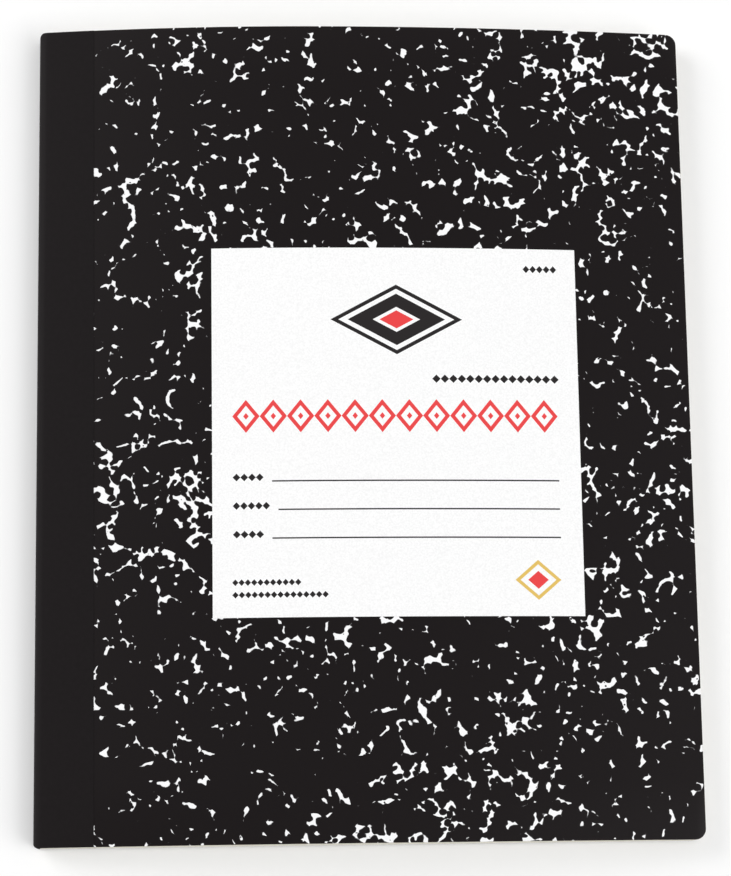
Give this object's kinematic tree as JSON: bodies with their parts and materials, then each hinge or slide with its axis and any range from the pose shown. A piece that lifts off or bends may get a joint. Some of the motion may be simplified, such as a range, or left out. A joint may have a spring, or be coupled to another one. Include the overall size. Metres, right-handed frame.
{
  "type": "composition notebook",
  "caption": "Closed sewn notebook with marbled card covers, a black cloth tape spine, a square paper label and a solid block of pages; both covers hinge open.",
  "frame": {"origin": "under the middle of the closed notebook, on the surface it lies on", "axes": "+X from spine to fore-edge, +Y from tail to head, +Z from the back cover up through the front cover"},
  "size_m": [0.1714, 0.216, 0.0126],
  "materials": {
    "writing_paper": "matt uncoated paper, ruled on both sides",
    "cotton_thread": "plied sewing thread",
    "black_cloth": "filled book cloth, low sheen",
    "marbled_card": "card printed black with white marbling, satin varnish",
    "label_paper": "smooth white paper"
  },
  "bodies": {
    "text_block": {"page_block": "writing_paper", "sewing_thread": "cotton_thread", "spine_tape": "black_cloth"},
    "front_cover": {"front_board": "marbled_card", "front_tape": "black_cloth", "cover_label": "label_paper"},
    "back_cover": {"back_board": "marbled_card", "back_tape": "black_cloth"}
  },
  "joints": [
    {"name": "front_cover_hinge", "type": "hinge", "parent": "text_block", "child": "front_cover", "pos_m": [-0.08455, 0, 0.006], "axis": [0, -1, 0], "range_deg": [0, 178]},
    {"name": "back_cover_hinge", "type": "hinge", "parent": "text_block", "child": "back_cover", "pos_m": [-0.08455, 0, 0.0003], "axis": [0, 1, 0], "range_deg": [0, 180]}
  ]
}
